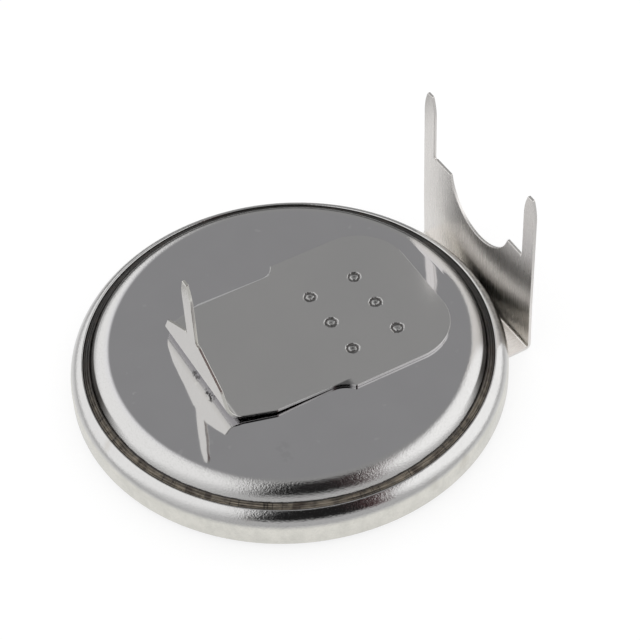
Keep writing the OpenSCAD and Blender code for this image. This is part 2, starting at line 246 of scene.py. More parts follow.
def punched_sheet(name, outline, fold, inner, dents, to_row):
    """A sheet cut to an outline and folded. The rounded edge is a profile carried along the outline, and the
    two faces are filled between inner points. dents(s, w) is how deep the upper face is pressed in, and
    to_row(run, w, height) turns the side view's run and height into the row's X, Y and Z."""
    ahead = np.roll(outline, -1, 0) - np.roll(outline, 1, 0)
    outward = np.stack([ahead[:, 1], -ahead[:, 0]], -1)
    outward /= np.linalg.norm(outward, axis=1)[:, None]
    half = SHEET / 2
    count = len(outline)
    rim = outline - outward * EDGE_R
    flat = np.concatenate([rim, inner])
    made = delaunay_2d_cdt([Vector(p) for p in flat], [], [list(range(count))], FILL_INSIDE, FILL_EXACT)
    origin = np.array([found[0] for found in made[3]])
    tris = np.array(made[2])
    spots = flat[origin]

    def folded(sw, n, in_plane, up):
        """Places points and turns their normals, given as parts in the sheet's plane and across it."""
        run, height, slope = fold.place(sw[:, 0], n)
        verts = to_row(run, sw[:, 1], height)
        along, side = in_plane[:, 0], in_plane[:, 1]
        across = to_row(along * np.cos(slope) - up * np.sin(slope), side,
                        along * np.sin(slope) + up * np.cos(slope)) - to_row(0 * up, 0 * up, 0 * up)
        return verts, across

    parts_v, parts_n, faces = [], [], []
    for inset, sign, lift in EDGE_PROFILE:
        sw = outline - outward * (EDGE_R * inset)
        n = np.full(count, sign * (half - EDGE_R * lift))
        flatness = 1 - lift if sign else 0.0
        verts, normal = folded(sw, n, outward * (1 - flatness * inset), np.full(count, sign * flatness))
        parts_v.append(verts)
        parts_n.append(normal)
    i = np.arange(count)
    j = (i + 1) % count
    last = len(EDGE_PROFILE) - 1
    for ring in range(last):
        low, high = ring * count, (ring + 1) * count
        faces += np.stack([low + i, low + j, high + j, high + i], -1).tolist()
    base = len(EDGE_PROFILE) * count
    for face in (1, -1):
        n = face * half - (dents(spots[:, 0], spots[:, 1]) if face > 0 else 0)
        verts, _ = folded(spots, n, np.zeros_like(spots), np.ones(len(spots)))
        order = tris if face > 0 else tris[:, ::-1]
        a, b, c = verts[order[:, 0]], verts[order[:, 1]], verts[order[:, 2]]
        cross = np.cross(b - a, c - a)
        normal = np.zeros_like(verts)
        for corner in range(3):
            np.add.at(normal, order[:, corner], cross)
        parts_v.append(verts)
        parts_n.append(normal)
        # The points on the rim are the ones that the edge's first or last ring already has.
        rim_start = last * count if face > 0 else 0
        place = np.where(origin < count, origin + rim_start, base + np.arange(len(spots)))
        faces += place[order].tolist()
        base += len(spots)
    return compact(name, np.concatenate(parts_v), np.concatenate(parts_n), np.array(faces, dtype=object))


def compact(name, verts, normals, faces):
    """One closed object from the points that its faces use."""
    used = np.unique(np.concatenate([np.array(face) for face in faces]))
    new_place = np.zeros(len(verts), int)
    new_place[used] = np.arange(len(used))
    normals = normals / np.maximum(np.linalg.norm(normals, axis=1), TINY)[:, None]
    faces = [new_place[np.array(face)].tolist() for face in faces]
    return new_object(name, verts[used], faces, normals[used])


def inside_grid(outline, s_rows, spacing, margin):
    """Points in rows across the sheet, kept where they lie inside the outline by the margin."""
    w_high = np.abs(outline[:, 1]).max()
    w_rows = np.arange(-w_high, w_high + spacing, spacing)
    points = np.stack(np.meshgrid(s_rows, w_rows, indexing="ij"), -1).reshape(-1, 2)
    return points[is_inside(points, outline, margin)]


def is_inside(points, outline, margin):
    """Whether each point lies inside the closed outline and further than margin from it: a line along the
    sheet from the point crosses the outline an odd number of times."""
    a, b = outline, np.roll(outline, -1, 0)
    crosses = ((a[:, 1] > points[:, 1, None]) != (b[:, 1] > points[:, 1, None])) & (
        points[:, 0, None] < (b[:, 0] - a[:, 0]) * (points[:, 1, None] - a[:, 1])
        / np.where(b[:, 1] == a[:, 1], TINY, b[:, 1] - a[:, 1]) + a[:, 0])
    near = np.sqrt(((points[:, None] - outline[None]) ** 2).sum(-1)).min(1)
    return (crosses.sum(1) % 2 == 1) & (near > margin)


# The cell


def can_profile():
    """Can section from the axis along its base, up the wall, over the crimp and the lip, and back inside."""
    inner_r, inner_z = CAN_R - CAN_WALL, CAN_BASE_Z + CAN_WALL
    crimp = (CRIMP_X, CRIMP_Z)
    top = 90 - math.degrees(LIP_EDGE_TURN)
    return joined(
        (0, CAN_BASE_Z), *[(r, CAN_BASE_Z) for r in BASE_RINGS],
        arc((CAN_R - BASE_R, CAN_BASE_Z + BASE_R), BASE_R, -90, 0, 10),
        arc(crimp, CRIMP_R, 0, top, 36),
        arc((LIP_R + LIP_EDGE_R, LIP_EDGE_Z), LIP_EDGE_R, top, 180, 9)[1:],
        arc(crimp, CRIMP_R - CAN_WALL, CRIMP_END, 0, 12),
        arc((inner_r - CORNER_R, inner_z + CORNER_R), CORNER_R, 0, -90, 6),
        (INSIDE_RING, inner_z), (0, inner_z))


def cap_profile():
    """Cap section from the axis under its face, down inside to the skirt, and back outside over its step,
    flank and shoulder to its face."""
    shoulder, step = (CAP_FACE_R, CAP_FACE_Z - SHOULDER_R), (SKIRT_R - STEP_R, STEP_Z - STEP_R)
    return joined(
        (0, CAP_FACE_Z - CAP_WALL), (INSIDE_RING, CAP_FACE_Z - CAP_WALL),
        arc(shoulder, SHOULDER_R - CAP_WALL, 90, FLANK_END, 14), arc(step, STEP_R - CAP_WALL, 45, 0, 4),
        (SKIRT_R - CAP_WALL, SKIRT_Z), (SKIRT_R, SKIRT_Z),
        arc(step, STEP_R, 0, 45, 5), arc(shoulder, SHOULDER_R, FLANK_END, 90, 60),
        *[(r, CAP_FACE_Z) for r in FACE_RINGS[::-1]], (0, CAP_FACE_Z))


def gasket_profile():
    """Gasket section round the skirt: the channel that holds it, and the beaded ring between cap and lip,
    whose top slopes down towards the lip."""
    inner_r = SKIRT_R - CAP_WALL - SEAL_LIP
    floor_z = CAN_BASE_Z + CAN_WALL
    lip_z = STEP_Z - SEAL_LIP_DROP
    beads = [arc((RING_R + BEAD_R * (2 * i + 1), RING_Z - SEAL_SLOPE * i), BEAD_R, 180, 0, 9)
             for i in range(SEAL_BEADS)]
    return joined(
        (inner_r, floor_z), (inner_r, lip_z), (SKIRT_R - CAP_WALL, lip_z), (SKIRT_R - CAP_WALL, SKIRT_Z),
        (SKIRT_R, SKIRT_Z), arc((SKIRT_R - STEP_R, STEP_Z - STEP_R), STEP_R, 0, 45, 5),
        arc((CAP_FACE_R, CAP_FACE_Z - SHOULDER_R), SHOULDER_R, FLANK_END, SHOULDER_END, 4),
        *beads, arc((CRIMP_X, CRIMP_Z), CRIMP_R - CAN_WALL, CRIMP_END, 0, 12),
        arc((CAN_R - CAN_WALL - CORNER_R, floor_z + CORNER_R), CORNER_R, 0, -90, 6))


def squeezed(r, z, a):
    """The gasket's beads are squeezed unevenly: z falls by the squeeze times one and half the sum of four
    sine waves round the ring, and the fall fades out downwards from the beads' tops."""
    top = np.clip((z - (RING_Z - SQUEEZED_H)) / SQUEEZED_H, 0, 1)
    wave = (np.sin(3 * a + 1.0) + 0.7 * np.sin(11 * a + 2.0 + r * 9) + 0.5 * np.sin(37 * a + r * 23)
            + 0.4 * np.sin(83 * a + r * 31))
    return r, z - top * SQUEEZE * (1 + 0.5 * wave)


can = turned("can_shell", can_profile(), SEGMENTS)
cap = turned("cap_shell", cap_profile(), SEGMENTS)
gasket = turned("gasket_ring", resampled(gasket_profile(), GASKET_STEP)[::-1], 2 * SEGMENTS,
                closed=True, wobble=squeezed)

# The tabs

# The pins: their width, and the length of the tip with the width of its blunt end. LEAN is how many degrees
# the uprights lean outwards. The last run of a folded tab is longer than any upright.
PIN_W = 1.03
PIN_TIP_L = 1.4
PIN_END_W = 0.44
LEAN = 0.8
LAST_RUN = 9.0

# The tab on the cap, turned a little about Z. Each of its sides has a step, given by its place along X and
# the radius of the hollow arc before it, first the near side's. The sheet lifts by some degrees from
# NEG_LIFT_X on, and past the bend's start its sides draw in by the second number of NEG_EASE within the
# first. Heights count from the cap's face.
NEG_TURN = math.radians(-1.2)
NEG_WIDE = 10.4
NEG_NARROW = 9.24
NEG_ROOT = 8.1
NEG_TAPER_X = -3.18
NEG_END_X = 8.7
NEG_CORNER_R = 3.0
NEG_STEPS = [(1.4, 1.5), (1.7, 0.8)]
NEG_LIFT_X = 1.0
NEG_LIFT = 1.7
NEG_LIFT_R = 20.0
NEG_REACH = 5.71
NEG_BEND_R = 0.55
NEG_EASE = (0.2, 0.03)
NEG_SHOULDER_H = 3.1
NEG_SIDE_H = 1.7
NEG_SIDE_W = 6.3
NEG_PIN_H = neg_high[2] - CAP_FACE_Z

# The tab under the can. The cut is the round cut-out between its pins, and its heights count from the can's
# base.
POS_W = pos_high[1] - pos_low[1]
POS_UNDER = -pos_low[0]
POS_CORNER_R = 3.0
POS_GAP = 0.14
POS_BEND_R = 0.15
POS_CREASE_H = 3.2
POS_NEAR_H = 6.43
POS_FAR_H = 6.78
POS_CUT_R = 3.0
POS_CUT_H = 7.36
POS_CUT_SHIFT = -0.2
POS_PIN_H = pos_high[2] - CAN_BASE_Z

# The nick beside a pin's root, as drops below the shoulder and distances from the pin.
NEG_NICK = [(0.03, 0.2), (0.1, 0.1)]
POS_NICK = [(0.1, 0.06), (0.02, 0.2)]

# The weld spots, two along X and three across: a pressed ring round a core, how steep its sides are, where
# the spots lie on the tab, and the rings of points that mesh each of them.
WELD_R = 0.4
WELD_CORE_R = 0.17
WELD_DEPTH = 0.03
WELD_STEEP = 0.7
WELD_PITCH = (2.89, 2.32)
WELD_END_GAP = 3.28
WELD_SHIFT = -0.46
WELD_X = NEG_END_X - WELD_END_GAP - WELD_PITCH[0] / 2
WELD_MESH_RINGS = (0.07, 0.13, 0.18, 0.22, 0.26, 0.3, 0.34, 0.4, 0.48)
WELD_MESH_COUNT = 20

# The outline of a tab has a point at least every OUTLINE_STEP. The points inside it keep EDGE_MARGIN from it
# and WELD_MARGIN from the weld spots' own points, and lie GRID_STEP apart across the strip.
OUTLINE_STEP = 0.1
EDGE_MARGIN = 0.1
WELD_MARGIN = 0.12
GRID_STEP = 0.4


def pin_side(root, height):
    """One side of a pin from its root to its blunt end, as (height, half width): straight, then an arc."""
    half = PIN_W / 2
    side = half - PIN_END_W / 2
    radius = (side * side + PIN_TIP_L * PIN_TIP_L) / (2 * side)
    up = np.linspace(0, PIN_TIP_L, 14)
    inwards = half - radius + np.sqrt(radius * radius - up * up)
    return joined((root, half), np.stack([height - PIN_TIP_L + up, inwards], -1))


def weld_dents(centres):
    """The pressed ring of each weld spot, as a function of the place on the sheet, and points to mesh it
    with. The depth is a bell curve of the distance from the ring's middle line."""

    def depth(s, w):
        """How deep the sheet is pressed in at each place (s, w)."""
        d = np.sqrt((s[:, None] - centres[:, 0]) ** 2 + (w[:, None] - centres[:, 1]) ** 2).min(1)
        middle = (WELD_R + WELD_CORE_R) / 2
        width = (WELD_R - WELD_CORE_R) / 2
        return WELD_DEPTH * np.exp(-((d - middle) / (WELD_STEEP * width)) ** 2)

    rings = [centres + rad * np.array([math.cos(t), math.sin(t)])
             for rad in WELD_MESH_RINGS
             for t in np.linspace(0, 2 * np.pi, WELD_MESH_COUNT, endpoint=False) + rad * 3]
    return depth, np.concatenate([centres, *rings])


def negative_tab():
    """The tab on the cap: its outline is laid out flat from the round-cornered end to the pin's tip."""
    lift = math.radians(NEG_LIFT)
    out = NEG_BEND_R + SHEET
    slope_run = (NEG_LIFT_X + NEG_REACH - (NEG_LIFT_R + SHEET) * math.sin(lift)
                 - out * (math.cos(math.radians(LEAN)) - math.sin(lift))) / math.cos(lift)
    fold = Fold([(NEG_END_X - NEG_LIFT_X, NEG_LIFT_R, NEG_LIFT),
                 (slope_run, NEG_BEND_R, 90 - LEAN - NEG_LIFT), (LAST_RUN, 0, 0)])
    bend_start = fold.rows[3][0]
    bend_end = fold.rows[4][0]
    half, narrow = NEG_WIDE / 2, NEG_NARROW / 2
    pin = pin_side(NEG_SHOULDER_H, NEG_PIN_H)

    def side(step_x, radius):
        """One side from the tab's end to the pin's tip. Its step is led up to by a hollow arc."""
        run = math.sqrt((half - narrow) * (2 * radius - half + narrow))
        step_s = NEG_END_X - step_x
        start = math.degrees(math.acos(1 - (half - narrow) / radius))
        return joined(
            (0, 0.0), arc((NEG_CORNER_R, half - NEG_CORNER_R), NEG_CORNER_R, 180, 90, 24),
            arc((step_s + run, narrow + radius), radius, 270 - start, 270, 14),
            (NEG_END_X - NEG_TAPER_X, narrow), (bend_start, NEG_ROOT / 2),
            (bend_start + NEG_EASE[0], NEG_ROOT / 2 - NEG_EASE[1]),
            (fold.at_height(NEG_SIDE_H), NEG_SIDE_W / 2),
            *[(fold.at_height(NEG_SHOULDER_H - drop), PIN_W / 2 + gap) for drop, gap in NEG_NICK],
            np.stack([fold.at_height(pin[:, 0]), pin[:, 1]], -1),
            (fold.at_height(NEG_PIN_H), 0.0))

    near, far = [side(*step) for step in NEG_STEPS]
    outline = resampled(np.concatenate([far * (1, -1), near[::-1]]), OUTLINE_STEP)
    spots = np.array([(WELD_X + column * WELD_PITCH[0] / 2, WELD_SHIFT + row * WELD_PITCH[1])
                      for column in (-1, 1) for row in (-1, 0, 1)])
    along = spots[:, 0] * math.cos(NEG_TURN) + spots[:, 1] * math.sin(NEG_TURN)
    across = spots[:, 1] * math.cos(NEG_TURN) - spots[:, 0] * math.sin(NEG_TURN)
    dents, rings = weld_dents(np.stack([NEG_END_X - along, -across], -1))
    # Rows of points across the strip, closest in the bend.
    s_rows = np.concatenate([np.arange(0.3, bend_start - 0.1, 0.4), np.linspace(bend_start, bend_end, 18),
                             np.arange(bend_end + 0.2, fold.length, 0.3)])
    grid = inside_grid(outline, s_rows, GRID_STEP, EDGE_MARGIN)
    away = np.sqrt(((grid[:, None] - rings[None]) ** 2).sum(-1)).min(1) > WELD_MARGIN
    inner = np.concatenate([grid[away], rings])

    def to_row(run, w, height):
        """The tab runs from its end towards -X, and is then turned about Z."""
        x = NEG_END_X - run
        y = -w
        return np.stack([x * math.cos(NEG_TURN) - y * math.sin(NEG_TURN),
                         x * math.sin(NEG_TURN) + y * math.cos(NEG_TURN), height + CAP_FACE_Z], -1)

    return punched_sheet("negative_tab_sheet", outline, fold, inner, dents, to_row)


def positive_tab():
    """The tab under the can, laid out flat from its hidden end to the two pins' tips."""
    fold = Fold([(POS_UNDER + CAN_R + POS_GAP - POS_BEND_R, POS_BEND_R, 90),
                 (POS_CREASE_H - POS_BEND_R, 0, -LEAN), (LAST_RUN, 0, 0)])
    half = POS_W / 2
    near_cut = math.degrees(math.asin((POS_CUT_H - POS_NEAR_H) / POS_CUT_R))
    far_cut = math.degrees(math.asin((POS_CUT_H - POS_FAR_H) / POS_CUT_R))
    root = half - PIN_W
    middle = half - PIN_W / 2
    pin_near = pin_side(POS_NEAR_H, POS_PIN_H)
    pin_far = pin_side(POS_FAR_H, POS_PIN_H)

    def up(h, w):
        """A place on the upright, from its height and its distance from the strip's middle line."""
        return np.stack([fold.at_height(np.asarray(h, float) + SHEET), np.asarray(w, float)], -1)

    cut = arc((0, 0), POS_CUT_R, 180 + far_cut, 360 - near_cut, 60)
    outline = joined(
        arc((POS_CORNER_R, half - POS_CORNER_R), POS_CORNER_R, 180, 90, 20),
        up(pin_far[1:, 0], middle + pin_far[1:, 1]),
        up(pin_far[::-1, 0], middle - pin_far[::-1, 1]),
        *[up(POS_FAR_H - drop, root - gap) for drop, gap in POS_NICK],
        up(POS_CUT_H + cut[:, 1], POS_CUT_SHIFT - cut[:, 0]),
        *[up(POS_NEAR_H - drop, gap - root) for drop, gap in POS_NICK[::-1]],
        up(pin_near[:, 0], pin_near[:, 1] - middle),
        up(pin_near[::-1, 0][:-1], -middle - pin_near[::-1, 1][:-1]),
        arc((POS_CORNER_R, POS_CORNER_R - half), POS_CORNER_R, 270, 180, 20))
    outline = resampled(outline[::-1], OUTLINE_STEP)
    bend_start, bend_end, crease = [row[0] for row in fold.rows[1:4]]
    # Rows of points across the strip, closest in the bend, and one on the crease.
    s_rows = np.concatenate([np.arange(0.3, bend_start - 0.1, 0.5), np.linspace(bend_start, bend_end, 10),
                             np.arange(bend_end + 0.3, crease - 0.1, 0.4), [crease],
                             np.arange(crease + 0.4, fold.length, 0.4)])
    inner = inside_grid(outline, s_rows, GRID_STEP, EDGE_MARGIN)

    def to_row(run, w, height):
        """The tab runs towards +X."""
        return np.stack([run - POS_UNDER, w, height], -1)

    return punched_sheet("positive_tab_sheet", outline, fold, inner, lambda s, w: 0 * s, to_row)


neg_tab = negative_tab()
pos_tab = positive_tab()

# Node graphs


class Graph:
    """Builds a node tree with short calls. A value is a number, a colour or another node's output."""

    def __init__(self, tree):
        self.tree = tree
        tree.nodes.clear()

    def node(self, kind, inputs=(), **settings):
        """Adds a node, sets its properties, and fills its inputs by name or number."""
        made = self.tree.nodes.new(kind)
        for key, value in settings.items():
            setattr(made, key, value)
        for key, value in dict(inputs).items():
            self.put(made.inputs[key], value)
        return made

    def put(self, socket, value):
        """Fills one input: another node's output is linked to it, and a number or colour is set on it."""
        if isinstance(value, bpy.types.NodeSocket):
            self.tree.links.new(value, socket)
        else:
            socket.default_value = value

    def math(self, operation, *values):
        """One step of arithmetic."""
        made = self.node("ShaderNodeMath", operation=operation)
        for socket, value in zip(made.inputs, values):
            self.put(socket, value)
        return made.outputs[0]

    def plus(self, a, b):
        """The sum of two numbers."""
        return self.math("ADD", a, b)

    def minus(self, a, b):
        """The first number less the second."""
        return self.math("SUBTRACT", a, b)

    def times(self, a, b):
        """The product of two numbers."""
        return self.math("MULTIPLY", a, b)

    def length(self, x, y):
        """How far the point (x, y) is from (0, 0)."""
        return self.math("SQRT", self.plus(self.times(x, x), self.times(y, y)))

    def between(self, part, a, b):
        """The number that lies this part of the way from a to b."""
        return self.plus(a, self.times(part, self.minus(b, a)))

    def steps(self, value, low, high, out_low=0.0, out_high=1.0):
        """Goes smoothly from out_low to out_high as the value goes from low to high."""
        made = self.node("ShaderNodeMapRange", {0: value, 1: low, 2: high, 3: out_low, 4: out_high},
                         interpolation_type="SMOOTHSTEP")
        return made.outputs[0]

    def xyz(self, x, y, z):
        """A point from its three coordinates."""
        return self.node("ShaderNodeCombineXYZ", {0: x, 1: y, 2: z}).outputs[0]

    def split(self, vector):
        """A point's three coordinates."""
        return self.node("ShaderNodeSeparateXYZ", {0: vector}).outputs

    def noise(self, vector, scale, detail=2.0, roughness=0.5):
        """Smooth noise from 0 to 1, finer as the scale grows."""
        made = self.node("ShaderNodeTexNoise",
                         {"Vector": vector, "Scale": scale, "Detail": detail, "Roughness": roughness})
        return made.outputs["Fac"]

    def mix(self, part, a, b):
        """The colour that lies this part of the way from a to b."""
        made = self.node("ShaderNodeMix", data_type="RGBA")
        self.put(made.inputs[0], part)
        self.put(made.inputs[6], a)
        self.put(made.inputs[7], b)
        return made.outputs[2]

    def millimetres(self):
        """The point in the object's own coordinates, in millimetres."""
        point = self.node("ShaderNodeTexCoord").outputs["Object"]
        return self.node("ShaderNodeVectorMath", {0: point, "Scale": 1 / MM}, operation="SCALE").outputs[0]

    def bump(self, height, depth_mm, normal=None):
        """Bump from a height of 0 to 1, which stands for this depth in millimetres."""
        made = self.node("ShaderNodeBump", {"Height": height, "Strength": 1.0, "Distance": depth_mm * MM})
        if normal is not None:
            self.put(made.inputs["Normal"], normal)
        return made.outputs["Normal"]


def grey(level, warmth=0.0):
    """A grey as a linear colour, a little warmer or cooler than neutral."""
    return (level * (1 + warmth), level, level * (1 - warmth), 1.0)


def new_material(name):
    """A new material, and the empty graph that is to paint it."""
    made = bpy.data.materials.new(name)
    made.use_nodes = True
    return made, Graph(made.node_tree)


def shaded(g, base, roughness, normal, metallic=1.0):
    """Closes a material's graph with one shader."""
    shader = g.node("ShaderNodeBsdfPrincipled",
                    {"Base Color": base, "Roughness": roughness, "Metallic": metallic, "Normal": normal})
    g.node("ShaderNodeOutputMaterial", {"Surface": shader.outputs[0]})


def polar(g, point):
    """The point's coordinates, and its distance from the cell's axis."""
    x, y, z = g.split(point)
    return x, y, z, g.length(x, y)


# The direction from the cell's axis towards the photographed side, in the plane of the floor.
VIEW_AZIMUTH = math.radians(-27.0)
FRONT = (math.sin(VIEW_AZIMUTH), -math.cos(VIEW_AZIMUTH))


def ahead(g, x, y):
    """How far a point lies from the cell's axis towards the photographed side."""
    return g.plus(g.times(x, FRONT[0]), g.times(y, FRONT[1]))


def frontness(g, x, y, radius):
    """How far round a point lies towards the photographed side: 1 at the front, 0 at the sides, -1 behind."""
    return g.math("DIVIDE", ahead(g, x, y), radius)


def ring_noise(g, x, y, radius, run, fineness, along, detail=3.0, roughness=0.6):
    """Noise laid round the axis: the direction from the axis is spread over a circle of the given fineness,
    and the run, a distance across the rings, counts as many times as given per millimetre."""
    ux = g.times(g.math("DIVIDE", x, radius), fineness)
    uy = g.times(g.math("DIVIDE", y, radius), fineness)
    return g.noise(g.xyz(ux, uy, g.times(run, along)), 1.0, detail, roughness)


def spots_near(g, point, places, size, scale):
    """Ragged spots around the given places, each up to this size in millimetres."""
    near = 100.0
    for place in places:
        gap = g.node("ShaderNodeVectorMath", {0: point, 1: place}, operation="DISTANCE").outputs["Value"]
        near = g.math("MINIMUM", gap, near)
    ragged = g.steps(g.noise(point, scale, 2.0), 0.42, 0.55)
    return g.times(g.steps(near, size, 0.5 * size), ragged)


# Finishes

# Colours, as linear red, green, blue and alpha. A pair is the darkest and the lightest tone.
CAP_TONES = (0.592, 0.586, 0.6, 1.0), (0.642, 0.636, 0.65, 1.0)
DARK_REFLECTION_BROWN = (0.05, 0.045, 0.04, 1.0)
WALL_TONES = (0.7, 0.69, 0.64, 1.0), (0.8, 0.785, 0.73, 1.0)
STAIN_BROWN = (0.42, 0.38, 0.32, 1.0)
CHARCOAL = (0.02, 0.019, 0.018, 1.0)
SHEEN_TAN = (0.24, 0.205, 0.16, 1.0)
RING_EDGE_BLACK = (0.012, 0.009, 0.007, 1.0)
UPRIGHT_SHEEN_CREAM = (0.77, 0.758, 0.715, 1.0)

# Where the photograph shows small nicks on the tab's bend, painted as their shade, and small scuffs and light
# specks on the cap.
BEND_NICK_SHADE = [(-5.7, 0.75, 3.4), (-5.7, 0.4, 3.4), (-5.7, -0.85, 3.45), (-5.7, -1.25, 3.5)]
CAP_SCUFFS = [(-4.2, -6.7, CAP_FACE_Z), (-4.3, -7.4, CAP_FACE_Z)]
CAP_SPECKS = [(-8.7, 2.4, CAP_FACE_Z), (-9.1, 0.9, CAP_FACE_Z)]

# The dark band painted at the foot of the cap's shoulder as a painted reflection of the dark gasket: the
# radius from which it covers the cap at the sides, how much further in it starts behind, and how far round
# towards the front it fades out.
DARK_REFLECTION_R = 10.8
DARK_REFLECTION_WIDER = 0.4
DARK_REFLECTION_FRONT = (0.6, 0.25)

# Dark marks in the gasket's ring, first lines round it, then blots, then cracks across it. Each has its
# noise's fineness, turns per millimetre, detail and roughness, the limits it fades in between, and a colour.
GASKET_MARKS = [((3.0, 34.0, 2.0, 0.6), (0.48, 0.62), (0.02, 0.016, 0.012, 1.0)),
                ((14.0, 1.0, 2.0, 0.6), (0.5, 0.68), (0.035, 0.024, 0.018, 1.0)),
                ((85.0, 0.6, 1.0, 0.5), (0.62, 0.7), (0.015, 0.011, 0.008, 1.0))]

# Painted light along the narrow part of the cap's tab: a painted highlight on the burred far edge and a
# painted dark line of shade on the near edge. Each pair is where the mark is nothing and where it is full.
FAR_EDGE_HIGHLIGHT_Y = (NEG_NARROW / 2 - 0.1, NEG_NARROW / 2 - 0.05)
FAR_HIGHLIGHT_END_X = (1.6, 1.2)
NEAR_EDGE_SHADE_Y = (-NEG_NARROW / 2 + 0.06, -NEG_NARROW / 2 - 0.04)
NEAR_SHADE_END_X = (1.4, 1.0)
NEAR_SHADE_START_X = (NEG_TAPER_X - 0.1, NEG_TAPER_X)

# The burnt marks of a weld spot, as pairs of distances from its middle: where a mark is nothing and full.
WELD_RING_IN = (0.14, 0.24)
WELD_RING_OUT = (0.42, 0.34)
WELD_POINT = (0.09, 0.04)
WELD_DISC = (0.3, 0.2)


def cap_material():
    """Polished cap: a mirror with a faint cloudiness, soft marks, small scuffs and light specks, a fine grain
    on its shoulder, and a dark brown band at the shoulder's foot, away from the photographed side, that is a
    painted reflection."""
    made, g = new_material("polished_cap_steel")
    point = g.millimetres()
    x, y, z, radius = polar(g, point)
    cloud = g.noise(point, 0.35, 3.0)
    marks = g.steps(g.noise(point, 1.3, 1.0), 0.72, 0.8)
    grain = ring_noise(g, x, y, radius, g.minus(radius, z), 95.0, 10.0)
    shoulder = g.steps(radius, CAP_FACE_R + 0.1, CAP_FACE_R + 0.5)
    front = frontness(g, x, y, radius)
    # Painted reflection: a dark brown band at the shoulder's foot, away from the photographed side.
    reflection_start = g.steps(front, -1.0, 0.0, DARK_REFLECTION_R - DARK_REFLECTION_WIDER, DARK_REFLECTION_R)
    painted_reflection = g.times(g.steps(g.minus(radius, reflection_start), -0.04, 0.04), g.steps(front, *DARK_REFLECTION_FRONT))
    base = g.mix(cloud, *CAP_TONES)
    base = g.mix(shoulder, base, grey(0.64, 0.01))
    base = g.mix(g.times(marks, 0.25), base, grey(0.8))
    base = g.mix(g.times(spots_near(g, point, CAP_SCUFFS, 0.5, 2.2), 0.1), base, grey(0.3))
    base = g.mix(spots_near(g, point, CAP_SPECKS, 0.14, 1.0), base, grey(0.9))
    base = g.mix(g.times(shoulder, g.steps(grain, 0.45, 0.7, 0.0, 0.16)), base, grey(0.4, 0.03))
    base = g.mix(painted_reflection, base, DARK_REFLECTION_BROWN)
    rough = g.plus(g.steps(cloud, 0.35, 0.7, 0.045, 0.07), g.times(shoulder, 0.09))
    normal = g.bump(g.noise(point, 0.6, 1.0), 0.008)
    normal = g.bump(g.times(grain, shoulder), 0.013, normal)
    shaded(g, base, rough, normal)
    return made


def can_material():
    """Bright can: a fine drawn grain over the crimp, a mottled creamy wall and a few faint stains."""
    made, g = new_material("bright_can_steel")
    point = g.millimetres()
    x, y, z, radius = polar(g, point)
    grain = ring_noise(g, x, y, radius, g.minus(radius, z), 90.0, 8.5)
    mottle = g.noise(point, 1.1, 4.0, 0.6)
    stain = g.steps(g.noise(point, 0.45, 2.0), 0.62, 0.75, 0.0, 0.3)
    wall = g.steps(radius, CAN_R - 0.12, CAN_R - 0.02)
    base = g.mix(mottle, grey(0.6, 0.005), grey(0.68, 0.01))
    base = g.mix(wall, base, g.mix(g.steps(mottle, 0.3, 0.7), *WALL_TONES))
    base = g.mix(stain, base, STAIN_BROWN)
    base = g.mix(g.steps(grain, 0.45, 0.75, 0.0, 0.14), base, grey(0.42, 0.04))
    rough = g.plus(g.steps(mottle, 0.3, 0.7, 0.08, 0.13), g.times(wall, 0.12))
    normal = g.bump(grain, 0.0095)
    normal = g.bump(g.noise(point, 1.6, 2.0), 0.006, normal)
    shaded(g, base, rough, normal)
    return made


def gasket_material():
    """Moulded gasket: charcoal, with a patchy tan painted towards the photographed side as painted sheen,
    dark edges, and dark lines, blots and small cracks."""
    made, g = new_material("gasket_plastic")
    point = g.millimetres()
    x, y, _, radius = polar(g, point)
    patch = ring_noise(g, x, y, radius, radius, 22.0, 3.0)
    # Painted sheen: the tan shows only towards the photographed side, and the gasket is charcoal behind.
    front_sheen = g.steps(frontness(g, x, y, radius), -0.05, 0.6)
    base = g.mix(g.times(front_sheen, g.steps(patch, 0.3, 0.62, 0.35, 1.0)), CHARCOAL, SHEEN_TAN)
    across = g.math("DIVIDE", g.minus(radius, RING_R), SEAL_W)
    inner_edge = g.times(g.steps(across, 0.34, 0.16), 0.75)
    outer_edge = g.steps(across, 0.84, 0.95)
    base = g.mix(g.math("MAXIMUM", inner_edge, outer_edge), base, RING_EDGE_BLACK)
    marks = [ring_noise(g, x, y, radius, radius, *settings) for settings, _, _ in GASKET_MARKS]
    for mark, (_, limits, colour) in zip(marks, GASKET_MARKS):
        base = g.mix(g.steps(mark, *limits, 0.0, 0.8), base, colour)
    normal = g.bump(marks[0], 0.03)
    normal = g.bump(g.noise(point, 7.0, 3.0), 0.012, normal)
    shaded(g, base, g.steps(patch, 0.3, 0.7, 0.28, 0.5), normal, metallic=0.0)
    return made


